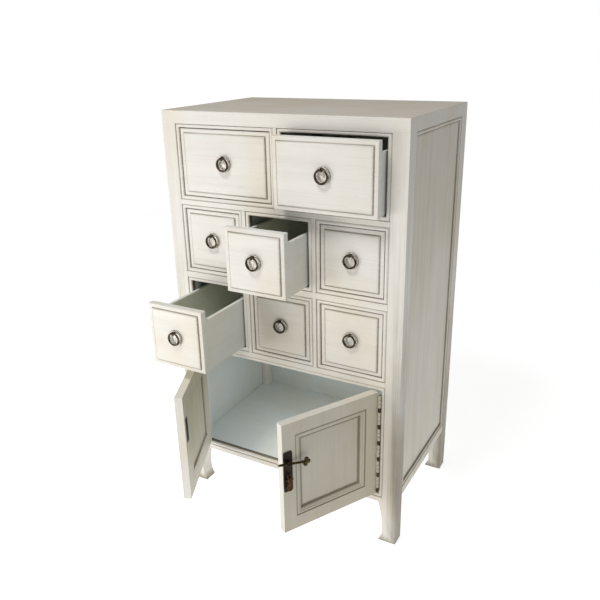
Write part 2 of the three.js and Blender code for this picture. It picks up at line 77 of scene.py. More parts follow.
# Drawer rows as (bottom, top, number of drawers), and the cupboard's opening.
ROWS = [(749, 895, 2), (582, 721, 3), (409, 551, 3)]
CUPBOARD = (124, 380)
DIVIDER = 26
DIVIDER_X = (2 * OPENING_HALF + DIVIDER) / 6
BOX_WALL = 8
BOX_SKIN = 0.6
PLATE_RADIUS = 16.6

# Doors, in door coordinates: u from the hinge axis and depth back from it.
HINGE_X = 236
HINGE_FORWARD = 3.5
HINGE_RADIUS = 3.0
HINGE_PIN = 2.0
KNUCKLES = 24
DOOR_NEAR, DOOR_FAR = 1.6, 234.75
DOOR_LOW, DOOR_HIGH = 126, 378
DOOR_BACK = 20.5
PANEL_FACE, PANEL_BACK = 10.5, 16.0
FIELD_INSET = 40.3

# Strike strip on the back of the left door: in from its free edge, and its levels.
STRIKE_FROM_EDGE = 9
STRIKE_WIDTH = 13
STRIKE_LOW, STRIKE_HIGH = 265, 322
STRIKE_THICKNESS = 0.8

# Lock plate on the right door, its staple and eye, and the bolt.
LOCK_FACE = 3.2
LOCK_THICKNESS = 1.5
LOCK_SIZE = (20, 92)
LOCK_CENTRE = 271
LOCK_FROM_EDGE = 11.5
NAIL_OFFSET = 40
STAPLE_LEVEL = 293
STAPLE_DEPTH = LOCK_FACE - 7.5
DROP_LEVEL = 268
DROP_DEPTH = LOCK_FACE - 6.2
DROP_RADIUS = 4.6
DROP_LENGTH = 39
DROP_HALF_THICKNESS = 1.7
BOLT_LEAN = 12
BOLT_PAST_EDGE = 15.5

# Leg below the rails: distance in from the case's side at each height.
LEG = [
    (43.0, 104), (42.2, 101), (41, 97), (39.2, 90), (37.4, 82), (35.6, 72), (34, 62), (32.8, 52),
    (32, 43), (31.6, 34), (31.8, 27), (32.6, 20), (34, 14), (35.8, 9), (37.8, 5), (39.6, 2.2),
    (40.4, 0.6), (40.4, 0),
]

# ---- Colours, sRGB 0-255 ---------------------------------------------------------------------

OFF_WHITE = (221, 218, 211)
# The next three are the off-white paint darkened as painted shade, because the case's sides, its top and
# the opened doors get less light than its front.
SIDE_WHITE_SHADED = (215, 210, 199)
TOP_WHITE_SHADED = (206, 200, 189)
DOOR_WHITE_SHADED = (196, 192, 178)
GLAZE = (130, 121, 102)
# Painted shadow: the walls inside the openings are painted dark so that the gaps round the drawers and the
# cupboard read as shadow lines.
REVEAL_SHADOW = (92, 86, 74)
INNER = (210, 216, 216)
BOX_GREY = (221, 223, 219)
BOX_INNER = (226, 230, 218)
IRON = (52, 42, 32)
IRON_WORN = (122, 104, 84)
PLATE = (222, 218, 208)
PLATE_DARK = (96, 88, 74)
LOCK = (34, 25, 17)
LOCK_WORN = (92, 70, 44)
BRASS = (92, 82, 42)
BRASS_DARK = (44, 36, 16)
BRONZE = (112, 78, 40)
BRONZE_DARK = (46, 30, 16)


def linear(colour):
    """Linear RGBA of an sRGB colour given as 0-255."""
    out = []
    for c in colour:
        v = c / 255
        out.append(v / 12.92 if v <= 0.04045 else ((v + 0.055) / 1.055) ** 2.4)
    return (*out, 1.0)


# ---- Camera ----------------------------------------------------------------------------------

CAMERA_PLACE = (687.59, -1132.9, 1053.83)
CAMERA_TURN = (29.39, 21.13, -1.26)
CAMERA_LENS = 39.68
CAMERA_SENSOR = 36


def make_camera():
    """A plain camera with no shift: yaw, pitch and roll in degrees, from the front right."""
    yaw, pitch, roll = (math.radians(a) for a in CAMERA_TURN)
    ahead = Vector((-math.sin(yaw) * math.cos(pitch), math.cos(yaw) * math.cos(pitch),
                    -math.sin(pitch)))
    level = Vector((math.cos(yaw), math.sin(yaw), 0))
    above = level.cross(ahead)
    right = level * math.cos(roll) + above * math.sin(roll)
    up = above * math.cos(roll) - level * math.sin(roll)
    turn = Matrix((right, up, -ahead)).transposed().to_4x4()
    data = bpy.data.cameras.new("camera")
    data.sensor_width = CAMERA_SENSOR
    data.lens = CAMERA_LENS
    cam = bpy.data.objects.new("camera", data)
    bpy.context.scene.collection.objects.link(cam)
    x, depth, z = CAMERA_PLACE
    place = Vector((x, depth + FRONT, z)) * MM
    cam.matrix_world = Matrix.Translation(place) @ turn
    bpy.context.scene.camera = cam


make_camera()

# ---- Materials -------------------------------------------------------------------------------


class Nodes:
    """Short way to add and join shader nodes."""

    def __init__(self, name):
        self.material = bpy.data.materials.new(name)
        self.material.use_nodes = True
        self.tree = self.material.node_tree
        self.tree.nodes.clear()
        self.shader = self.add("ShaderNodeBsdfPrincipled")
        out = self.add("ShaderNodeOutputMaterial")
        self.tree.links.new(self.shader.outputs[0], out.inputs[0])

    def add(self, kind, inputs=None, **settings):
        """New node with its inputs set or linked."""
        node = self.tree.nodes.new(kind)
        for key, value in settings.items():
            setattr(node, key, value)
        for key, value in (inputs or {}).items():
            if isinstance(value, bpy.types.NodeSocket):
                self.tree.links.new(value, node.inputs[key])
            else:
                node.inputs[key].default_value = value
        return node

    def noise(self, stretch, detail=3.0, roughness=0.55, offset=(0, 0, 0)):
        """3-D noise over the object's own coordinates, scaled by stretch per metre."""
        where = self.add("ShaderNodeTexCoord").outputs["Object"]
        mapped = self.add(
            "ShaderNodeMapping", {"Vector": where, "Scale": stretch, "Location": offset})
        made = self.add("ShaderNodeTexNoise", {
            "Vector": mapped.outputs[0], "Scale": 1.0, "Detail": detail, "Roughness": roughness})
        return made.outputs["Fac"]

    def ramp(self, value, low, high, to_low=0.0, to_high=1.0):
        """Smooth step of a value from low..high to to_low..to_high."""
        made = self.add("ShaderNodeMapRange", {
            "Value": value, "From Min": low, "From Max": high,
            "To Min": to_low, "To Max": to_high})
        made.interpolation_type = "SMOOTHSTEP"
        return made.outputs[0]

    def maths(self, operation, a, b):
        """One sum of two values."""
        return self.add("ShaderNodeMath", {0: a, 1: b}, operation=operation).outputs[0]

    def mix(self, factor, a, b):
        """Colour between a and b."""
        node = self.add("ShaderNodeMix", data_type="RGBA")
        for socket, value in ((node.inputs[0], factor), (node.inputs[6], a), (node.inputs[7], b)):
            if isinstance(value, bpy.types.NodeSocket):
                self.tree.links.new(value, socket)
            else:
                socket.default_value = value
        return node.outputs[2]

    def attribute(self, name):
        """Value stored on the mesh's points."""
        return self.add("ShaderNodeAttribute", attribute_name=name).outputs["Fac"]

    def bump(self, height, strength, distance):
        """Relief on the shader's normal; distance in metres."""
        made = self.add("ShaderNodeBump", {
            "Height": height, "Strength": strength, "Distance": distance})
        self.tree.links.new(made.outputs[0], self.shader.inputs["Normal"])

    def set(self, **sockets):
        """Sets the shader's own sockets, by a value or by a link."""
        for key, value in sockets.items():
            socket = self.shader.inputs[key.replace("_", " ")]
            if isinstance(value, bpy.types.NodeSocket):
                self.tree.links.new(value, socket)
            else:
                socket.default_value = value


def painted_wood(name, colour, grain, streak=1.0, glaze=1.0, gloss=(0.42, 0.6)):
    """Brushed paint over wood: streaks along the grain, cloudy tone, glaze in the recesses."""
    n = Nodes(name)
    along = [330.0, 330.0, 330.0]
    along["XYZ".index(grain)] = 7.0
    broad = [60.0, 60.0, 60.0]
    broad["XYZ".index(grain)] = 3.0
    fine = n.noise(tuple(along), 4.0, 0.6)
    wide = n.noise(tuple(broad), 3.0, 0.5, (3.1, 7.7, 1.9))
    cloud = n.noise((7.0, 7.0, 5.0), 3.0, 0.55, (5.0, 2.0, 8.0))
    paint = linear(colour)
    dark = linear(tuple(c * k for c, k in zip(colour, (0.925, 0.915, 0.89))))
    warm = linear(tuple(c * k for c, k in zip(colour, (0.985, 0.965, 0.925))))
    tone = n.mix(n.ramp(cloud, 0.35, 0.7), paint, warm)
    tone = n.mix(n.maths("MULTIPLY", n.ramp(wide, 0.45, 0.8), 0.4 * streak), tone, dark)
    tone = n.mix(n.maths("MULTIPLY", n.ramp(fine, 0.48, 0.74), 0.62 * streak), tone, dark)
    settled = n.maths("MULTIPLY", n.attribute("glaze"), n.ramp(cloud, 0.2, 0.8, 0.75, 1.2))
    settled = n.maths("ADD", settled, n.ramp(fine, 0.3, 0.8, -0.08, 0.1))
    settled = n.ramp(settled, 0.12, 1.05, 0.0, 0.92 * glaze)
    tone = n.mix(settled, tone, linear(GLAZE))
    specks = n.noise((420.0, 420.0, 420.0), 1.0, 0.4, (9.0, 4.0, 2.0))
    tone = n.mix(n.ramp(specks, 0.76, 0.8, 0.0, 0.5), tone, linear(GLAZE))
    n.set(Base_Color=tone, Roughness=n.ramp(wide, 0.3, 0.75, *gloss))
    n.bump(n.maths("ADD", fine, n.maths("MULTIPLY", wide, 1.6)), 0.35, 0.0003)
    return n.material


def worn_metal(name, dark, worn, roughness, patina=0.5, metallic=0.9):
    """Aged metal: dark patina, rubbed lighter where the wear value is high."""
    n = Nodes(name)
    blotch = n.noise((240.0, 240.0, 240.0), 3.0, 0.6)
    grit = n.noise((1500.0, 1500.0, 1500.0), 2.0, 0.5, (2.0, 5.0, 7.0))
    rubbed = n.maths("ADD", n.attribute("wear"), n.ramp(blotch, 0.35, 0.7, -patina, patina))
    tone = n.mix(n.ramp(rubbed, 0.1, 1.0), linear(dark), linear(worn))
    n.set(Base_Color=tone, Metallic=metallic,
          Roughness=n.ramp(blotch, 0.3, 0.75, roughness, roughness + 0.22))
    n.bump(n.maths("ADD", grit, n.maths("MULTIPLY", blotch, 2.0)), 0.3, 0.00025)
    return n.material


MATERIALS = {
    "front": painted_wood("front_paint", OFF_WHITE, "X", 0.7),
    "post": painted_wood("post_paint", OFF_WHITE, "Z", 0.8),
    # Door, side and top paints are darker copies of the front paint, as painted shade for faces that get
    # less light.
    "door": painted_wood("door_paint_shaded", DOOR_WHITE_SHADED, "Z", 0.8),
    "side": painted_wood("side_paint_shaded", SIDE_WHITE_SHADED, "Z", 1.2),
    "top": painted_wood("top_paint_shaded", TOP_WHITE_SHADED, "X", 1.2),
    "inner": painted_wood("inner_paint", INNER, "X", 0.3, 0.8, (0.5, 0.68)),
    # The reveal paint is painted shadow for the walls inside the openings.
    "reveal": painted_wood("reveal_shadow_paint", REVEAL_SHADOW, "X", 0.4, 0.6, (0.6, 0.75)),
    "box": painted_wood("box_paint", BOX_GREY, "Y", 0.7, 0.9, (0.5, 0.68)),
    "box_inner": painted_wood("box_inner_paint", BOX_INNER, "Y", 0.7, 0.9, (0.55, 0.72)),
    "iron": worn_metal("dark_iron", IRON, IRON_WORN, 0.34),
    "plate": worn_metal("plate_metal", PLATE_DARK, PLATE, 0.42, 0.22, 0.6),
    "lock": worn_metal("lock_iron", LOCK, LOCK_WORN, 0.42, 0.35, 0.7),
    "brass": worn_metal("aged_brass", BRASS_DARK, BRASS, 0.34, 0.4),
    "bronze": worn_metal("dark_bronze", BRONZE_DARK, BRONZE, 0.36, 0.4),
}

# ---- Mesh building ---------------------------------------------------------------------------


def on_front(u, w, depth):
    """u across, w up, depth back from the front plane."""
    return (u, FRONT + depth, w)


def on_side(side):
    """u back from the front plane, w up, depth in from the case's outer side."""

    def place(u, w, depth):
        return (side * (HALF - depth), FRONT + u, w)
    return place


def prism_faces(n):
    """Faces of a prism whose two ends have n points each."""
    ends = [tuple(range(n)), tuple(range(2 * n - 1, n - 1, -1))]
    return ends + [(i, n + i, n + (i + 1) % n, (i + 1) % n) for i in range(n)]


def turned_faces(count, segments):
    """Faces of a turned form with count points in each of its segments."""
    faces = []
    for i in range(segments):
        a, b = i * count, ((i + 1) % segments) * count
        for k in range(count - 1):
            faces.append((a + k, b + k, b + k + 1, a + k + 1))
    return faces


class Shape:
    """Points with a glaze or wear value, and faces with a material, for one piece."""

    def __init__(self, place=on_front):
        self.place = place
        self.points, self.values, self.faces, self.looks = [], [], [], []

    def add(self, points, values, faces, look):
        """More points and faces; the faces count from the first of these points."""
        start = len(self.points)
        self.points += [self.place(*p) for p in points]
        self.values += values
        self.faces += [tuple(start + i for i in f) for f in faces]
        self.looks += [look] * len(faces)

    def block(self, u0, u1, w0, w1, d0, d1, look, value=0.0):
        """Box between two values of each coordinate."""
        corners = [(u, w, d) for d in (d0, d1) for w in (w0, w1) for u in (u0, u1)]
        faces = [(0, 1, 3, 2), (4, 6, 7, 5), (0, 4, 5, 1), (2, 3, 7, 6), (0, 2, 6, 4), (1, 5, 7, 3)]
        self.add(corners, [value] * 8, faces, look)

    def frame(self, profile, u0, u1, w0, w1, look):
        """Mitred ring: each profile point is (distance in from the edge, depth, value)."""
        count = len(profile)
        points, values, faces = [], [], []
        for su, sw in ((1, 1), (-1, 1), (-1, -1), (1, -1)):
            for inward, depth, value in profile:
                u = u1 - inward if su > 0 else u0 + inward
                w = w1 - inward if sw > 0 else w0 + inward
                points.append((u, w, depth))
                values.append(value)
        for k in range(4):
            for i in range(count):
                j = (i + 1) % count
                a, b = k * count, ((k + 1) % 4) * count
                faces.append((a + i, a + j, b + j, b + i))
        self.add(points, values, faces, look)

    def stack(self, layers, u0, u1, w0, w1, look):
        """Rectangles one on the other, closed at both ends: (inset, depth, value)."""
        points, values, faces = [], [], []
        for inward, depth, value in layers:
            points += [(u0 + inward, w0 + inward, depth), (u1 - inward, w0 + inward, depth),
                       (u1 - inward, w1 - inward, depth), (u0 + inward, w1 - inward, depth)]
            values += [value] * 4
        for k in range(len(layers) - 1):
            for i in range(4):
                j = (i + 1) % 4
                faces.append((4 * k + i, 4 * k + j, 4 * k + 4 + j, 4 * k + 4 + i))
        last = 4 * (len(layers) - 1)
        faces += [(3, 2, 1, 0), (last, last + 1, last + 2, last + 3)]
        self.add(points, values, faces, look)

    def prism(self, outline, d0, d1, look, values):
        """Outline in (u, w), from depth d0 to depth d1, with a value for each of its points."""
        points = [(u, w, d) for d in (d0, d1) for u, w in outline]
        self.add(points, values * 2, prism_faces(len(outline)), look)


def bevel_weights(work, joint_level):
    """Weight 1 on the sharp edges, and 0 on those that lie in a joint between two boards."""
    weights = []
    for edge in work.edges:
        sharp = len(edge.link_faces) == 2 and edge.calc_face_angle() > math.radians(40)
        level = all(abs(v.co.z / MM - joint_level) < 0.5 for v in edge.verts)
        weights.append(1.0 if sharp and not level else 0.0)
    return weights


def make_piece(name, shape, body, nodes=(), bevel=0.7, turn=None, angle=38,
               joint_level=-1.0):
    """Turns a shape into an object that rides on a body and stands for CAD nodes."""
    mesh = bpy.data.meshes.new(name)
    mesh.from_pydata([Vector(p) * MM for p in shape.points], [], shape.faces)
    looks = sorted(set(shape.looks))
    for look in looks:
        mesh.materials.append(MATERIALS[look])
    mesh.polygons.foreach_set("material_index", [looks.index(x) for x in shape.looks])
    for layer in ("glaze", "wear"):
        made = mesh.attributes.new(layer, "FLOAT", "POINT")
        made.data.foreach_set("value", shape.values)
    if turn is not None:
        mesh.transform(turn)
    work = bmesh.new()
    work.from_mesh(mesh)
    bmesh.ops.remove_doubles(work, verts=work.verts, dist=1e-6)
    bmesh.ops.recalc_face_normals(work, faces=work.faces)
    weights = bevel_weights(work, joint_level)
    work.to_mesh(mesh)
    work.free()
    made = mesh.attributes.new("bevel_weight_edge", "FLOAT", "EDGE")
    made.data.foreach_set("value", weights)
    mesh.shade_smooth()
    mesh.set_sharp_from_angle(angle=math.radians(angle))
    piece = bpy.data.objects.new(name, mesh)
    bpy.context.scene.collection.objects.link(piece)
    if bevel:
        soft = piece.modifiers.new("soft_edges", "BEVEL")
        soft.width = bevel * MM
        soft.segments = 2
        soft.limit_method = "WEIGHT"
        soft.harden_normals = True
        soft.use_clamp_overlap = True
    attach(piece, body)
    if nodes:
        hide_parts(*nodes)
    return piece


# ---- Case ------------------------------------------------------------------------------------

def bead_profile():
    """Half-round bead round an opening, from the outer quirk to the opening's edge."""
    out = [(0.0, FACE, 0.2), (0.0, 0.9, 0.35), (0.5, 1.9, 0.85), (1.2, 2.2, 0.85)]
    steps = 9
    for k in range(steps + 1):
        angle = math.radians(32 + (180 - 32) * k / steps)
        lift = math.sin(angle)
        value = 0.6 * (1 - lift) ** 1.2 + 0.04
        out.append((RIM - 4 - 4 * math.cos(angle), 4.1 - 4 * lift, value))
    return out + [(float(RIM), 5.2, 0.95), (float(RIM), FACE, 0.5)]


def bead_round(name, x0, x1, z0, z1):
    """Mitred bead round one opening, with its inner wall painted dark as painted shadow in the gap."""
    shape = Shape()
    profile = bead_profile()
    shape.frame(profile, x0 - RIM, x1 + RIM, z0 - RIM, z1 + RIM, "front")
    # The inner wall of the opening takes the dark reveal paint, a painted shadow.
    shape.looks[len(profile) - 2::len(profile)] = ["reveal"] * 4
    make_piece(name, shape, "case", bevel=0.0)


def columns(count):
    """Left and right edges of the openings in a row."""
    width = (2 * OPENING_HALF - (count - 1) * DIVIDER) / count
    return [(-OPENING_HALF + c * (width + DIVIDER), -OPENING_HALF + c * (width + DIVIDER) + width)
            for c in range(count)]


def beads():
    """Bead mouldings of the eight drawer openings and of the cupboard."""
    for r, (z0, z1, count) in enumerate(ROWS):
        for c, (x0, x1) in enumerate(columns(count)):
            bead_round(f"bead_r{r + 1}c{c + 1}", x0, x1, z0, z1)
    bead_round("bead_cupboard", -OPENING_HALF, OPENING_HALF, *CUPBOARD)


def post(word, side, row):
    """Corner post with its leg: a flat face with a softly rounded arris."""
    d0, d1 = (0, POST_DEPTH) if row == "front" else (DEPTH - POST_DEPTH, DEPTH)
    inner = RIM + OPENING_HALF + 0.2 if row == "front" else POST_IN
    top = TOP_UNDER - 0.02
    outline = [(HALF, 0), (HALF, top), (inner, top), (inner, RAIL_BOTTOM)]
    outline += [(HALF - i, z) for i, z in LEG]
    # The glaze value rises over the lowest 26 mm, so the feet get darker towards the floor.
    values = [0.95 * max(0.0, 1 - z / 26) for _, z in outline]
    shape = Shape()
    shape.prism([(side * u, w) for u, w in outline], d0, d1, "post", values)
    if row == "front":
        shape.block(side * OPENING_HALF, side * (inner + 1), RAIL_BOTTOM + 0.5, TOP_UNDER - 1,
                    BODY, POST_DEPTH - 0.5, "inner")
    make_piece(f"post_{row}_{word}_wood", shape, "case",
               [f"post_{row}_{word}"], 1.3, joint_level=TOP_UNDER)


def shelf_board(shape, top):
    """Shelf board, notched round the four posts."""
    narrow, wide = POST_IN - GAP, SIDE_IN - GAP
    f0, f1 = POST_DEPTH - 0.1, POST_DEPTH + GAP
    b0, b1 = DEPTH - POST_DEPTH - GAP, BACK_AT - GAP
    plan = [(-narrow, f0), (narrow, f0), (narrow, f1), (wide, f1), (wide, b0), (narrow, b0),
            (narrow, b1), (-narrow, b1), (-narrow, b0), (-wide, b0), (-wide, f1), (-narrow, f1)]
    points = [(x, z, d) for z in (top - SHELF_BOARD, top) for x, d in plan]
    shape.add(points, [0.1] * len(points), prism_faces(len(plan)), "inner")


def shelf(node, z0, z1, flat0, flat1, board_top):
    """Front rail with its flat between the beads, and the board behind it."""
    shape = Shape()
    edge = OPENING_HALF + RIM
    shape.block(-edge, edge, flat0, flat1, 0, FACE, "front", 0.05)
    shape.block(GAP - POST_IN, POST_IN - GAP, z0, z1, BODY, POST_DEPTH, "inner")
    shelf_board(shape, board_top)
    make_piece(f"{node}_wood", shape, "case", [node], 0.6)


def dividers():
    """Divider boards, each with a backing strip and a flat between the beads."""
    flat, strip, board = DIVIDER / 2 - RIM, DIVIDER / 2 - 0.1, 5
    for node, x, rows in (("divider_wide", 0, ROWS[:1]), ("divider_left", -DIVIDER_X, ROWS[1:]),
                          ("divider_right", DIVIDER_X, ROWS[1:])):
        shape = Shape()
        for z0, z1, _ in rows:
            low, high = z0 + GAP, z1 - GAP
            shape.block(x - flat, x + flat, z0 - RIM + 0.2, z1 + RIM - 0.2, 0, FACE, "post", 0.05)
            shape.block(x - strip, x + strip, low, high, BODY, BODY + 1, "inner")
            shape.block(x - board, x + board, low, high, BODY + 1, BACK_AT - GAP, "inner")
        make_piece(f"{node}_wood", shape, "case", [node], 0.6)


def top_board():
    """Top board, with the flat over the first row of openings; only its top has the top paint, the
    off-white darkened as painted shade.
    """
    shape = Shape()
    lip = ROWS[0][1] + RIM
    shape.block(-HALF, HALF, TOP_UNDER, HEIGHT, 0, DEPTH, "top")
    edge = OPENING_HALF + RIM
    shape.block(-edge, edge, lip + 0.2, TOP_UNDER, 0.02, FACE, "front")
    piece = make_piece("top_board", shape, "case", ["top_panel"], 1.6,
                       joint_level=TOP_UNDER)
    # Faces that don't point up go back to the front paint, so only the top surface carries the painted
    # shade.
    face = piece.data.materials.find("top_paint_shaded")
    front = piece.data.materials.find("front_paint")
    for polygon in piece.data.polygons:
        if polygon.material_index == face and abs(polygon.normal.z) < 0.5:
            polygon.material_index = front


def side_panels():
    """Recessed panel in a mitred bead, over a bottom rail."""
    for word, side in SIDES:
        shape = Shape(on_side(side))
        u0, u1 = POST_DEPTH + GAP, DEPTH - POST_DEPTH - GAP
        top = TOP_UNDER - GAP
        back = HALF - SIDE_IN
        field = back - SIDE_RECESS
        profile = [(0.0, 9, 0.5), (0.0, 1.0, 0.9), (0.4, 0.5, 0.5)]
        for k in range(8):
            angle = math.radians(180 * k / 7)
            lift = math.sin(angle)
            value = 0.7 * (1 - lift) ** 1.3
            profile.append((3.9 - 3.3 * math.cos(angle), 3.2 - 2.9 * lift, value))
        profile += [(7.6, 4.4, 1.0), (7.8, field - 0.3, 1.0), (7.8, 9, 0.5)]
        # The side paint is the off-white darkened as painted shade for the case's less lit sides.
        shape.frame(profile, u0, u1, SIDE_RAIL_TOP + 0.5, top, "side")
        shape.stack([(0, back - 0.1, 0.5), (0, field, 1.0), (8.2, field, 1.0),
                     (12.5, field, 0.3), (18, field, 0.0)], u0, u1, SIDE_RAIL_TOP, top, "side")
        shape.block(u0, u1, SIDE_RAIL_BOTTOM, SIDE_RAIL_TOP, 0.2, 8.2, "side", 0.05)
        shape.block(u0, u1, SIDE_RAIL_BOTTOM, top, back - 0.1, back, "inner", 0.1)
        make_piece(f"side_{word}_wood", shape, "case", [f"side_panel_{word}"], 0.4)


def back_panel():
    """Upright boards outside and one plain sheet inside."""
    shape = Shape()
    edge, top = POST_IN - GAP, TOP_UNDER - GAP
    width = 2 * edge / BACK_BOARDS
    for k in range(BACK_BOARDS):
        x0 = k * width - edge
        # The outer boards take the side paint, the off-white darkened as painted shade.
        shape.block(x0 + 0.2, x0 + width - 0.2, RAIL_BOTTOM, top, BACK_AT + 3, BACK_AT + 8,
                    "side", 0.1)
    shape.block(-edge, edge, RAIL_BOTTOM, top, BACK_AT, BACK_AT + 2.8, "inner", 0.15)
    make_piece("back_boards", shape, "case", ["back_panel"], 0.8)


def case():
    """Everything that stands still, apart from the hinges."""
    beads()
    for word, side in SIDES:
        post(word, side, "front")
        post(word, side, "back")
    bottoms = [row[0] for row in ROWS]
    below = [ROWS[1][1], ROWS[2][1], CUPBOARD[1]]
    for r, (low, high) in enumerate(zip(below, bottoms)):
        shelf(f"shelf_row{r + 1}", low, high, low + RIM, high - RIM, high)
    sill = CUPBOARD[0]
    shelf("bottom_board", RAIL_BOTTOM, sill, RAIL_BOTTOM, sill - RIM, sill - 2)
    dividers()
    top_board()
    side_panels()
    back_panel()


# ---- Drawers ---------------------------------------------------------------------------------

def front_layers():
    """Drawer front: a flat band, a quirk and a rounded rise to the raised field."""
    out = [(0, 18, 0.1), (0, 4.6, 0.15), (0.3, 3.8, 0.1), (1.0, 3.5, 0.0), (6.8, 3.5, 0.1),
           (8.2, 3.5, 0.8), (9.2, 3.3, 1.0)]
    steps = 7
    for k in range(steps + 1):
        angle = math.radians(90 * k / steps)
        out.append((9.3 + 5.7 * (1 - math.cos(angle)), 3.0 - 3.0 * math.sin(angle),
                    max(0.0, 0.85 - 0.13 * k)))
    return out + [(24, 0, 0.0)]


def lathe(shape, profile, centre, look, segments=56):
    """Turned form about an axis that points out of the front: (radius, depth, value)."""
    cu, cw, cd = centre
    points, values = [], []
    for i in range(segments):
        angle = 2 * math.pi * i / segments
        for radius, depth, value in profile:
            points.append((cu + radius * math.cos(angle), cw + radius * math.sin(angle),
                           cd + depth))
            values.append(value)
    shape.add(points, values, turned_faces(len(profile), segments), look)


def torus(shape, centre, major, minor, look, axis="d", sides=14, segments=56):
    """Ring about axis d (out of the front) or u (across); wear is higher on the outside."""
    cu, cw, cd = centre
    points, values, faces = [], [], []
    for i in range(segments):
        a = 2 * math.pi * i / segments
        for k in range(sides):
            b = 2 * math.pi * k / sides
            radius = major + minor * math.cos(b)
            off = minor * math.sin(b)
            flat = (radius * math.cos(a), radius * math.sin(a))
            if axis == "d":
                points.append((cu + flat[0], cw + flat[1], cd + off))
            else:
                points.append((cu + off, cw + flat[1], cd + flat[0]))
            values.append(0.35 + 0.4 * max(0.0, math.cos(b)) * (0.5 - 0.5 * math.sin(a)))
    for i in range(segments):
        p, q = i * sides, ((i + 1) % segments) * sides
        for k in range(sides):
            faces.append((p + k, q + k, q + (k + 1) % sides, p + (k + 1) % sides))
    shape.add(points, values, faces, look)


def pull(name, node_plate, node_ring, drawer, ring_body):
    """Round dished plate with an eyelet, and the ring that hangs in it."""
    lo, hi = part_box(node_plate)
    cu, face = (lo.x + hi.x) / 2 / MM, hi.y / MM - FRONT
    cw = lo.z / MM + PLATE_RADIUS
    ring_lo, ring_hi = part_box(node_ring)
    wire = (ring_hi.y - ring_lo.y) / 2 / MM
    major = (ring_hi.x - ring_lo.x) / 2 / MM - wire
    axis_d = (ring_lo.y + ring_hi.y) / 2 / MM - FRONT
    axis_w = ring_hi.z / MM - wire
    plate = Shape()
    dish = [(0.0, -2.3, 0.75), (2.8, -2.2, 0.8), (4.6, -1.7, 0.85), (6.5, -1.35, 0.9),
            (9.2, -1.2, 0.95), (11.6, -1.35, 0.9), (12.9, -1.5, 0.7), (13.5, -1.2, 0.3),
            (14.1, -1.9, 0.6), (14.8, -2.4, 0.9), (15.5, -2.35, 0.9), (16.2, -1.7, 0.6),
            (PLATE_RADIUS, -0.9, 0.2), (PLATE_RADIUS, 0.0, 0.0), (0.0, 0.0, 0.0)]
    lathe(plate, dish, (cu, cw, face), "plate")
    make_piece(f"{name}_plate_metal", plate, drawer, [node_plate], 0.0, angle=60)
    eye = Shape()
    torus(eye, (cu, axis_w, axis_d), 3.9, 0.95, "iron", "u", 12, 32)
    for reach in (-1.5, 1.5):
        stem = [(0.0, axis_d - face + 3.4, 0.2), (1.3, axis_d - face + 3.5, 0.2),
                (1.5, -2.0, 0.1), (2.4, -1.2, 0.0), (2.6, -0.4, 0.0)]
        lathe(eye, stem, (cu, axis_w + reach * 0.6, face), "iron", 20)
    make_piece(f"{name}_eyelet", eye, drawer, (), 0.0, angle=60)
    ring = Shape()
    torus(ring, (cu, axis_w - major, axis_d), major, wire, "iron")
    make_piece(f"{name}_ring_metal", ring, ring_body, [node_ring], 0.0, angle=60)


def drawer(key):
    """One drawer: its moulded front, its open box and its ring pull."""
    name = f"drawer_{key}"
    lo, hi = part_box(f"{name}_front")
    out = lo.y / MM - FRONT
    x0, x1, z0, z1 = lo.x / MM, hi.x / MM, lo.z / MM, hi.z / MM
    front = Shape()
    front.stack([(i, d + out, g) for i, d, g in front_layers()], x0, x1, z0, z1, "front")
    front.looks[:4] = ["box"] * 4
    make_piece(f"{name}_face", front, name, [f"{name}_front"], 0.5)

    lo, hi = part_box(f"{name}_box")
    x0, x1, z0, z1 = lo.x / MM, hi.x / MM, lo.z / MM, hi.z / MM
    d0, d1 = lo.y / MM - FRONT, hi.y / MM - FRONT
    lining = BOX_WALL - BOX_SKIN
    tray = Shape()
    for side, u in ((1, x0), (-1, x1)):
        a, b = sorted((u, u + side * lining))
        tray.block(a, b, z0, z1, d0, d1, "box")
        a, b = sorted((u + side * (lining + 0.05), u + side * BOX_WALL))
        tray.block(a, b, z0 + 5, z1 - 0.8, d0, d1 - BOX_WALL, "box_inner", 0.1)
    tray.block(x0 + BOX_WALL, x1 - BOX_WALL, z0 + 5, z1 - 6, d1 - BOX_WALL, d1 - 0.5,
               "box_inner", 0.15)
    tray.block(x0 + BOX_WALL - 2, x1 - BOX_WALL + 2, z0 + 1.5, z0 + 6, d0, d1 - BOX_WALL + 2,
               "box_inner", 0.1)
    make_piece(f"{name}_tray", tray, name, [f"{name}_box"], 0.7)
    pull(name, f"{name}_plate", f"{name}_ring", name, f"ring_{key}")


def drawers():
    """All the drawers, row by row."""
    for r, (_, _, count) in enumerate(ROWS):
        for c in range(count):
            drawer(f"r{r + 1}c{c + 1}")


# ---- Doors -----------------------------------------------------------------------------------

def door_turn(word, side):
    """Hinge place and angle of a door as it stands."""
    joint = next(j for j in frame["joints"] if j["name"] == f"door_{word}_hinge")
    x, y, _ = joint["pos_m"]
    angle = math.radians(-joint["range_deg"][0]) * side
    return Matrix.Translation((x, y, 0)) @ Matrix.Rotation(angle, 4, "Z")


def local(u, w, depth):
    """Door coordinates: u along the door from its hinge axis, depth back from the axis."""
    return (u, depth, w)


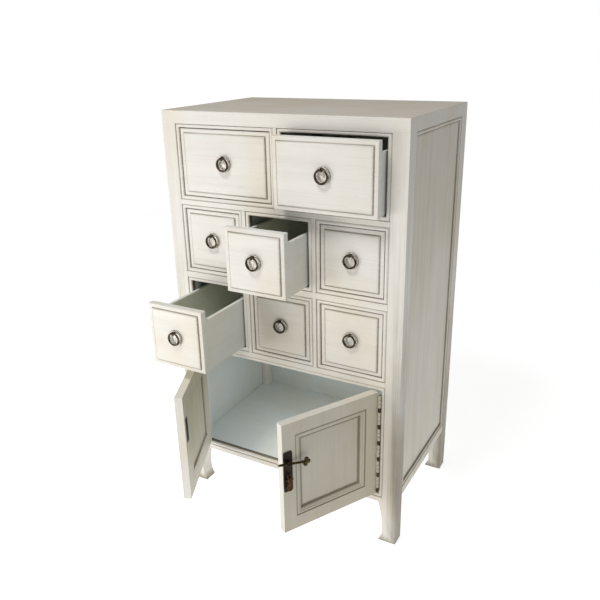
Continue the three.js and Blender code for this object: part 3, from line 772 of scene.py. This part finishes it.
def door_profile():
    """Section of a door's rails and stiles, from the outer edge to the panel and back."""
    face = HINGE_FORWARD
    groove_front, groove_back = PANEL_FACE - 0.2, PANEL_BACK + 0.2
    out = [(0, face, 0.1), (28.6, face, 0.05), (30.0, face, 0.8), (30.8, 4.6, 1.0),
           (32.0, 4.8, 1.0)]
    for k in range(7):
        angle = math.radians(20 + 150 * k / 6)
        lift = math.sin(angle)
        out.append((34.4 - 2.5 * math.cos(angle), 5.6 - 2.0 * lift, 0.5 * (1 - lift)))
    out += [(37.3, 5.0, 0.35), (38.2, 5.1, 0.3), (39.6, 5.8, 0.2), (41.2, 7.0, 0.3),
            (42.4, 8.4, 0.8), (43.2, 9.6, 1.0), (44.0, 9.8, 1.0), (44.0, groove_front, 1.0),
            (40.0, groove_front, 0.0), (40.0, groove_back, 0.0), (44.0, groove_back, 0.8),
            (44.0, DOOR_BACK, 0.4), (0, DOOR_BACK, 0.1)]
    return out


def door(word, side):
    """Framed door with its panel, and the iron parts that it carries."""
    turn = door_turn(word, side)
    body = f"door_{word}"
    x0, x1 = sorted((-side * DOOR_FAR, -side * DOOR_NEAR))
    edge = Shape(local)
    profile = door_profile()
    # The door's faces take the door paint, the off-white darkened as painted shade; its outer edges keep
    # the unshaded post paint.
    edge.frame(profile, x0, x1, DOOR_LOW, DOOR_HIGH, "door")
    edge.looks[len(profile) - 1::len(profile)] = ["post"] * 4
    make_piece(f"door_{word}_rails", edge, body, [f"door_{word}_frame"], 0.7, turn)
    field = Shape(local)
    field.stack([(0, PANEL_BACK, 0.3), (0, PANEL_FACE, 1.0), (5.4, PANEL_FACE, 1.0),
                 (8.2, PANEL_FACE, 0.3), (13.0, PANEL_FACE, 0.0)],
                x0 + FIELD_INSET, x1 - FIELD_INSET, DOOR_LOW + FIELD_INSET, DOOR_HIGH - FIELD_INSET, "door")
    make_piece(f"door_{word}_field", field, body, [f"door_{word}_panel"], 0.0, turn)
    if side > 0:
        lock_plate(turn, x0)
        drop_pull(turn, x0)
        bolt(turn, x0)
    else:
        strip = Shape(local)
        outer = x1 - STRIKE_FROM_EDGE
        back = DOOR_BACK + GAP
        strip.block(outer - STRIKE_WIDTH, outer, STRIKE_LOW, STRIKE_HIGH, back,
                    back + STRIKE_THICKNESS, "lock", 0.1)
        make_piece("strike_strip_metal", strip, body, ["strike_strip"], 0.2, turn)


def rounded_outline(cu, cw, width, height, radius):
    """Rectangle with round corners, as points in (u, w)."""
    steps = 5
    points = []
    for su, sw, start in ((1, 1, 0), (-1, 1, 90), (-1, -1, 180), (1, -1, 270)):
        for k in range(steps + 1):
            angle = math.radians(start + 90 * k / steps)
            points.append((cu + su * (width / 2 - radius) + radius * math.cos(angle),
                           cw + sw * (height / 2 - radius) + radius * math.sin(angle)))
    return points


def lock_plate(turn, free):
    """Iron plate with two nails, the staple for the bolt and the eye for the drop pull."""
    cu = free + LOCK_FROM_EDGE
    plate = Shape(local)
    outline = rounded_outline(cu, LOCK_CENTRE, *LOCK_SIZE, 4)
    plate.prism(outline, LOCK_FACE - LOCK_THICKNESS, LOCK_FACE, "lock", [0.1] * len(outline))
    for w in (LOCK_CENTRE - NAIL_OFFSET, LOCK_CENTRE + NAIL_OFFSET):
        lathe(plate, [(0, -2.6, 0.5), (1.2, -2.5, 0.5), (2.0, -2.0, 0.2), (2.3, -1.4, 0.0)],
              (cu, w, LOCK_FACE), "lock", 16)
    for u in (-2.6, 0.0, 2.6):
        torus(plate, (cu + u, STAPLE_LEVEL, STAPLE_DEPTH), 4.3, 1.15, "lock", "u", 12, 32)
    lathe(plate, [(2.2, -3.9, 0.3), (2.2, -1.4, 0.0)], (cu, STAPLE_LEVEL, LOCK_FACE), "lock", 16)
    torus(plate, (cu, DROP_LEVEL, DROP_DEPTH), 2.85, 0.75, "lock", "u", 10, 24)
    lathe(plate, [(1.3, -3.2, 0.2), (1.5, -1.4, 0.0)], (cu, DROP_LEVEL, LOCK_FACE), "lock", 16)
    make_piece("lock_plate_metal", plate, "door_right", ["lock_plate"], 0.25, turn, 50)


def drop_pull(turn, free):
    """Small ring with a flat waisted leaf below it."""
    cu = free + LOCK_FROM_EDGE
    drop = Shape(local)
    torus(drop, (cu, DROP_LEVEL - DROP_RADIUS, DROP_DEPTH), DROP_RADIUS, 1.3, "bronze", "d", 12, 36)
    half = [(1.2, -8.4), (3.0, -9.4), (5.2, -10.6), (7.4, -11.2), (8.4, -12.4), (7.9, -13.8),
            (6.1, -14.8), (5.0, -16.6), (4.9, -19.5), (5.5, -23.5), (6.4, -27.5), (6.8, -31),
            (6.2, -34.4), (4.6, -37), (2.4, -38.6)]
    outline = [(cu + u, DROP_LEVEL + w) for u, w in half] + [(cu, DROP_LEVEL - DROP_LENGTH)]
    outline += [(cu - u, DROP_LEVEL + w) for u, w in reversed(half)]
    front, back = DROP_DEPTH - DROP_HALF_THICKNESS, DROP_DEPTH + DROP_HALF_THICKNESS
    drop.prism(outline, front, back, "bronze", [0.45] * len(outline))
    make_piece("drop_pull_metal", drop, "drop_pull", ["drop_pull"], 0.9, turn, 50)


def bolt(turn, free):
    """Round bolt with a pointed tip and a flat three-lobed head, leaning down to the head."""
    lean = math.radians(BOLT_LEAN)
    ahead = LOCK_FROM_EDGE + BOLT_PAST_EDGE
    tip_u = free + LOCK_FROM_EDGE - ahead * math.cos(lean)
    tip_w = STAPLE_LEVEL + ahead * math.sin(lean)

    def leaning(u, w, depth):
        """u along the bolt from its tip, w across it."""
        return (tip_u + u * math.cos(lean) + w * math.sin(lean), depth,
                tip_w - u * math.sin(lean) + w * math.cos(lean))

    shape = Shape(leaning)
    sides = 20
    profile = [(0.0, 0.0, 0.7), (0.9, 0.2, 0.7), (1.5, 1.0, 0.6), (2.2, 2.6, 0.5),
               (2.4, 4.0, 0.4), (2.4, 40.0, 0.45), (2.4, 56.0, 0.4), (3.6, 57.0, 0.6),
               (3.6, 58.8, 0.6), (2.4, 59.8, 0.3), (0.0, 59.8, 0.3)]
    points, values = [], []
    for i in range(sides):
        angle = 2 * math.pi * i / sides
        for radius, along, value in profile:
            points.append((along, radius * math.cos(angle),
                           STAPLE_DEPTH + radius * math.sin(angle)))
            values.append(value)
    shape.add(points, values, turned_faces(len(profile), sides), "brass")
    for along, across, radius in ((65.4, 5.4, 5.0), (65.4, -5.4, 5.0), (70.8, 0, 5.0),
                                  (65.4, 0, 5.2)):
        disc = [(0.0, -2.9, 0.7), (radius - 2.4, -2.8, 0.7), (radius - 0.9, -2.0, 0.5),
                (radius, 0.0, 0.2), (radius - 0.9, 2.0, 0.3), (radius - 2.4, 2.8, 0.3),
                (0.0, 2.9, 0.3)]
        lathe(shape, disc, (along, across, STAPLE_DEPTH), "brass", 28)
    make_piece("bolt_metal", shape, "bolt", ["latch_bolt"], 0.0, turn, 50)


def barrel(shape, x, z0, z1, radius, look):
    """Upright cylinder on the axis of a door hinge."""
    sides = 20
    points = [(x + radius * math.cos(2 * math.pi * i / sides), z,
               radius * math.sin(2 * math.pi * i / sides) - HINGE_FORWARD)
              for z in (z0, z1) for i in range(sides)]
    shape.add(points, [0.3] * len(points), prism_faces(sides), look)


def hinges():
    """Long barrels of the door hinges, cut into knuckles, each with its leaf."""
    for word, side in SIDES:
        node = f"hinge_{word}"
        lo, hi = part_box(node)
        cx = side * HINGE_X
        z0, z1 = lo.z / MM, hi.z / MM
        shape = Shape()
        pitch = (z1 - z0) / KNUCKLES
        barrel(shape, cx, z0, z1, HINGE_PIN, "iron")
        for k in range(KNUCKLES):
            # Most knuckles take the door paint, the off-white darkened as painted shade; every fourth is
            # bare iron.
            look = "door" if k % 4 else "iron"
            low = z0 + k * pitch + 0.5
            barrel(shape, cx, low, low + pitch - 1, HINGE_RADIUS, look)
        shape.block(cx - 0.6, cx + 0.6, z0 + 1, z1 - 1, -HINGE_FORWARD, 12, "iron", 0.2)
        make_piece(f"{node}_metal", shape, "case", [node], 0.4)


# ---- Floor and light, in metres --------------------------------------------------------------

FLOOR_HALF = 2.4
FLOOR_GLOW = 0.8
SURROUND = 0.3


def stage():
    """Plain pale floor that glows a little, so that the shadows on it stay faint."""
    n = Nodes("floor_white")
    cloud = n.noise((1.5, 1.5, 1.5), 2.0, 0.5)
    n.set(Base_Color=n.mix(n.ramp(cloud, 0.3, 0.7), (0.52, 0.52, 0.52, 1), (0.48, 0.48, 0.48, 1)),
          Roughness=0.8, Emission_Color=(1, 1, 1, 1), Emission_Strength=FLOOR_GLOW)
    mesh = bpy.data.meshes.new("floor")
    far = FLOOR_HALF
    mesh.from_pydata([(-far, -far, 0), (far, -far, 0), (far, far, 0), (-far, far, 0)], [],
                     [(0, 1, 2, 3)])
    mesh.materials.append(n.material)
    floor = bpy.data.objects.new("floor", mesh)
    bpy.context.scene.collection.objects.link(floor)


def lamp(name, place, target, size, power, colour):
    """Round soft lamp at a place, aimed at a target, in metres."""
    data = bpy.data.lights.new(name, "AREA")
    data.shape = "DISK"
    data.size = size
    data.energy = power
    data.color = colour
    lamp_object = bpy.data.objects.new(name, data)
    bpy.context.scene.collection.objects.link(lamp_object)
    lamp_object.location = place
    lamp_object.rotation_mode = "QUATERNION"
    aim = Vector(target) - Vector(place)
    lamp_object.rotation_quaternion = aim.to_track_quat("-Z", "Y")


def light():
    """White seen by the camera, a dim even surround for the rest, and soft lamps."""
    world = bpy.data.worlds.new("studio")
    bpy.context.scene.world = world
    world.use_nodes = True
    tree = world.node_tree
    surround = tree.nodes["Background"]
    surround.inputs["Color"].default_value = (1, 1, 1, 1)
    surround.inputs["Strength"].default_value = SURROUND
    backdrop = tree.nodes.new("ShaderNodeBackground")
    backdrop.inputs["Strength"].default_value = 1.0
    backdrop.inputs["Color"].default_value = (1, 1, 1, 1)
    choose = tree.nodes.new("ShaderNodeMixShader")
    path = tree.nodes.new("ShaderNodeLightPath")
    tree.links.new(path.outputs["Is Camera Ray"], choose.inputs[0])
    tree.links.new(surround.outputs[0], choose.inputs[1])
    tree.links.new(backdrop.outputs[0], choose.inputs[2])
    tree.links.new(choose.outputs[0], tree.nodes["World Output"].inputs[0])
    lamp("low_left", (-0.88, -1.15, 0.36), (-0.12, -0.05, 0.42), 0.7, 7.2, (1.0, 0.99, 0.975))
    lamp("over_front", (-0.25, -1.35, 2.9), (0, 0, 0.2), 0.8, 38, (1.0, 0.99, 0.975))
    inside = (90 + FRONT) * MM
    lamp("cupboard_fill", (0, inside, 0.366), (0, inside, 0.1), 0.14, 0.34, (0.97, 0.99, 1.0))
    bpy.context.scene.view_settings.view_transform = "Standard"


case()
drawers()
for word, side in SIDES:
    door(word, side)
hinges()
stage()
light()
